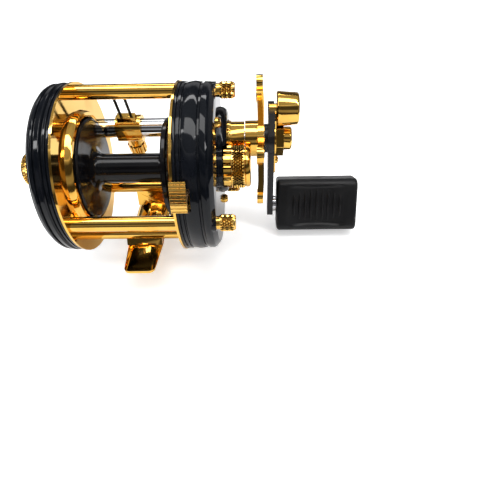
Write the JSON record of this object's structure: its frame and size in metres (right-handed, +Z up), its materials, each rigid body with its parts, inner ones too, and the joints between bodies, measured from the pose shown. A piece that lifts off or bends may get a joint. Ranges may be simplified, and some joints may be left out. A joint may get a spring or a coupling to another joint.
{
  "type": "baitcasting reel",
  "caption": "Round baitcasting reel with pillar frame, level wind, star drag and single-knob counterweighted crank handle.",
  "frame": {"origin": "middle of the foot's underside, where it sits on the rod's reel seat", "axes": "+X along the spool's axis towards the handle, +Y forward, the way the line leaves, +Z up from the rod"},
  "size_m": [0.1292, 0.0716, 0.0722],
  "materials": {
    "gold_plate": "mirror-polished gold plating",
    "gloss_black": "deep gloss black",
    "spool_black": "gloss black anodising",
    "chrome": "polished chrome plating",
    "steel": "turned steel",
    "brass": "machined brass",
    "ivory_nylon": "moulded nylon",
    "black_steel": "satin black",
    "black_grip": "moulded satin grip",
    "drag_fibre": "pressed fibre"
  },
  "bodies": {
    "frame": {"frame_left_plate": "gold_plate", "frame_right_plate": "gold_plate", "top_pillar": "gold_plate", "rear_pillar": "gold_plate", "front_pillar": "gold_plate", "foot_bar": "gold_plate", "reel_foot": "gold_plate", "foot_screws": "gold_plate", "left_cover": "gloss_black", "left_bearing": "steel", "brake_drum": "steel", "right_cover": "gloss_black", "gear_plate": "brass", "gear_plate_screws": "steel", "cover_screws": "gold_plate", "right_bearing": "steel", "guide_tube": "chrome", "idler_axle": "steel", "shaft_sleeve": "gold_plate"},
    "left_cap": {"left_cap": "gold_plate"},
    "top_thumb_screw": {"top_thumb_screw": "gold_plate"},
    "rear_thumb_screw": {"rear_thumb_screw": "gold_plate"},
    "front_thumb_screw": {"front_thumb_screw": "gold_plate"},
    "cast_control": {"cast_control_cap": "gold_plate", "cast_control_pad": "ivory_nylon", "cast_control_spring": "steel"},
    "spool": {"spool": "spool_black", "spool_shaft": "steel", "spool_cog": "ivory_nylon", "cross_pin": "steel", "brake_pins": "steel"},
    "brake_block_a": {"brake_block_a": "spool_black"},
    "brake_block_b": {"brake_block_b": "spool_black"},
    "yoke": {"yoke": "steel"},
    "pinion": {"pinion": "brass"},
    "clutch": {"clutch_button": "gold_plate", "clutch_lever": "steel"},
    "worm": {"worm_shaft": "steel", "worm_cog": "ivory_nylon"},
    "idler": {"idler_gear": "ivory_nylon"},
    "line_guide": {"line_guide": "gold_plate", "line_wires": "black_steel", "pawl_cap": "gold_plate"},
    "pawl": {"pawl": "steel"},
    "handle": {"drive_shaft": "steel", "main_gear": "brass", "drag_washers": "drag_fibre", "ratchet_wheel": "steel", "spring_washer": "black_steel", "handle_arm": "black_steel", "handle_nut": "gold_plate", "lock_plate": "gold_plate", "lock_screw": "gold_plate", "counterweight": "gold_plate", "knob_pin": "steel"},
    "star_wheel": {"star_wheel": "gold_plate"},
    "handle_knob": {"handle_knob": "black_grip"},
    "reverse_stop": {"reverse_stop": "steel"}
  },
  "joints": [
    {"name": "handle_turn", "type": "hinge", "parent": "frame", "child": "handle", "pos_m": [0, 0.01498, 0.03236], "axis": [1, 0, 0], "continuous": true},
    {"name": "star_turn", "type": "hinge", "parent": "handle", "child": "star_wheel", "pos_m": [0, 0.01498, 0.03236], "axis": [1, 0, 0], "range_deg": [-90, 90]},
    {"name": "knob_spin", "type": "hinge", "parent": "handle", "child": "handle_knob", "pos_m": [0, 0.01498, -0.00014], "axis": [1, 0, 0], "continuous": true},
    {"name": "spool_spin", "type": "hinge", "parent": "frame", "child": "spool", "pos_m": [0, 0, 0.0295], "axis": [1, 0, 0], "continuous": true},
    {"name": "brake_block_a_slide", "type": "slide", "parent": "spool", "child": "brake_block_a", "axis": [0, 0, 1], "range_m": [0, 0.0005]},
    {"name": "brake_block_b_slide", "type": "slide", "parent": "spool", "child": "brake_block_b", "axis": [0, 0, -1], "range_m": [0, 0.0005]},
    {"name": "clutch_press", "type": "hinge", "parent": "frame", "child": "clutch", "pos_m": [0, 0, 0.0295], "axis": [1, 0, 0], "range_deg": [0, 7]},
    {"name": "yoke_slide", "type": "slide", "parent": "frame", "child": "yoke", "axis": [1, 0, 0], "range_m": [0, 0.0012]},
    {"name": "pinion_spin", "type": "hinge", "parent": "yoke", "child": "pinion", "pos_m": [0, 0, 0.0295], "axis": [1, 0, 0], "continuous": true},
    {"name": "idler_spin", "type": "hinge", "parent": "frame", "child": "idler", "pos_m": [0, 0.01237, 0.02871], "axis": [1, 0, 0], "continuous": true},
    {"name": "worm_spin", "type": "hinge", "parent": "frame", "child": "worm", "pos_m": [0, 0.0225, 0.0335], "axis": [1, 0, 0], "continuous": true},
    {"name": "line_guide_slide", "type": "slide", "parent": "frame", "child": "line_guide", "axis": [1, 0, 0], "range_m": [-0.0046, 0.015]},
    {"name": "pawl_swivel", "type": "hinge", "parent": "line_guide", "child": "pawl", "pos_m": [-0.0057, 0.0225, 0.0335], "axis": [0, -0.3584, 0.9336], "range_deg": [-25, 25]},
    {"name": "reverse_stop_lift", "type": "hinge", "parent": "frame", "child": "reverse_stop", "pos_m": [0, 0.01058, 0.02276], "axis": [1, 0, 0], "range_deg": [-6, 0]},
    {"name": "cast_control_turn", "type": "hinge", "parent": "frame", "child": "cast_control", "pos_m": [0, 0, 0.0295], "axis": [1, 0, 0], "range_deg": [-180, 180]},
    {"name": "left_cap_turn", "type": "hinge", "parent": "frame", "child": "left_cap", "pos_m": [0, 0, 0.0295], "axis": [1, 0, 0], "range_deg": [-180, 180]},
    {"name": "top_thumb_screw_turn", "type": "hinge", "parent": "frame", "child": "top_thumb_screw", "pos_m": [0, 0.00954, 0.05476], "axis": [1, 0, 0], "continuous": true},
    {"name": "rear_thumb_screw_turn", "type": "hinge", "parent": "frame", "child": "rear_thumb_screw", "pos_m": [0, -0.02665, 0.02514], "axis": [1, 0, 0], "continuous": true},
    {"name": "front_thumb_screw_turn", "type": "hinge", "parent": "frame", "child": "front_thumb_screw", "pos_m": [0, 0.0171, 0.00861], "axis": [1, 0, 0], "continuous": true}
  ],
  "couplings": [
    {"joint": "spool_spin", "follows": "handle_turn", "ratio": -4.5455},
    {"joint": "pinion_spin", "follows": "handle_turn", "ratio": -4.5455},
    {"joint": "idler_spin", "follows": "handle_turn", "ratio": 4.2614},
    {"joint": "worm_spin", "follows": "handle_turn", "ratio": -5.6818},
    {"joint": "yoke_slide", "follows": "clutch_press", "m_per_rad": 0.0098}
  ]
}
